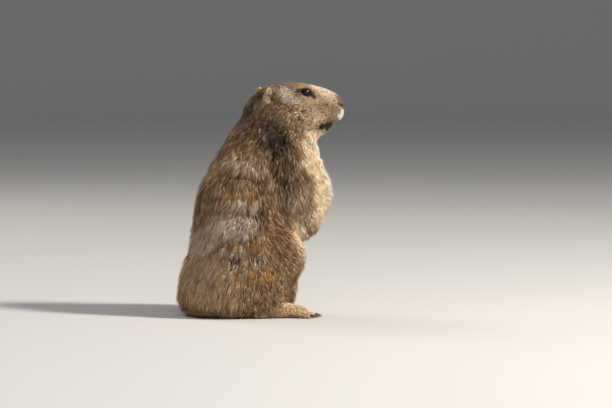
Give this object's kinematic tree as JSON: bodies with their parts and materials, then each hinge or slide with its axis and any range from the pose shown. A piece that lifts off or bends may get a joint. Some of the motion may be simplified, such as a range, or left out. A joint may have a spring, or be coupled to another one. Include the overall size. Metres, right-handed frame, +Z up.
{
  "type": "alpine marmot model",
  "caption": "Life-size alpine marmot sitting upright on its haunches, forepaws held before the chest, tail laid along the floor; a still display model.",
  "frame": {"origin": "on the floor, at the middle of the bounding box's base", "axes": "+X the way the animal faces, +Y its left side, +Z up"},
  "size_m": [0.2168, 0.2102, 0.3014],
  "materials": {
    "fur_body": "dense brown-ochre coat with grey tips",
    "fur_head": "short grey-brown coat, cream on the bridge of the nose",
    "fur_throat": "brown neck with an orange-cream throat",
    "fur_tail": "long dark brown hair, black at the tip",
    "paw_skin": "very short tan hair over dark skin",
    "claw_horn": "dark horn",
    "nose_leather": "bare dark nose pad",
    "eye_black": "wet black eye"
  },
  "bodies": {
    "root": {"head": "fur_head", "neck": "fur_throat", "torso_upper": "fur_body", "torso_lower": "fur_body", "nose": "nose_leather", "eye_left": "eye_black", "ear_left": "fur_head", "upper_arm_left": "fur_body", "forearm_left": "fur_body", "forepaw_left": "paw_skin", "thigh_left": "fur_body", "shank_left": "fur_body", "hind_foot_left": "paw_skin", "eye_right": "eye_black", "ear_right": "fur_head", "upper_arm_right": "fur_body", "forearm_right": "fur_body", "forepaw_right": "paw_skin", "thigh_right": "fur_body", "shank_right": "fur_body", "hind_foot_right": "paw_skin", "claw_fore_left_1": "claw_horn", "claw_fore_left_2": "claw_horn", "claw_fore_left_3": "claw_horn", "claw_fore_left_4": "claw_horn", "claw_hind_left_1": "claw_horn", "claw_hind_left_2": "claw_horn", "claw_hind_left_3": "claw_horn", "claw_hind_left_4": "claw_horn", "claw_hind_left_5": "claw_horn", "claw_fore_right_1": "claw_horn", "claw_fore_right_2": "claw_horn", "claw_fore_right_3": "claw_horn", "claw_fore_right_4": "claw_horn", "claw_hind_right_1": "claw_horn", "claw_hind_right_2": "claw_horn", "claw_hind_right_3": "claw_horn", "claw_hind_right_4": "claw_horn", "claw_hind_right_5": "claw_horn", "tail": "fur_tail"}
  },
  "joints": []
}
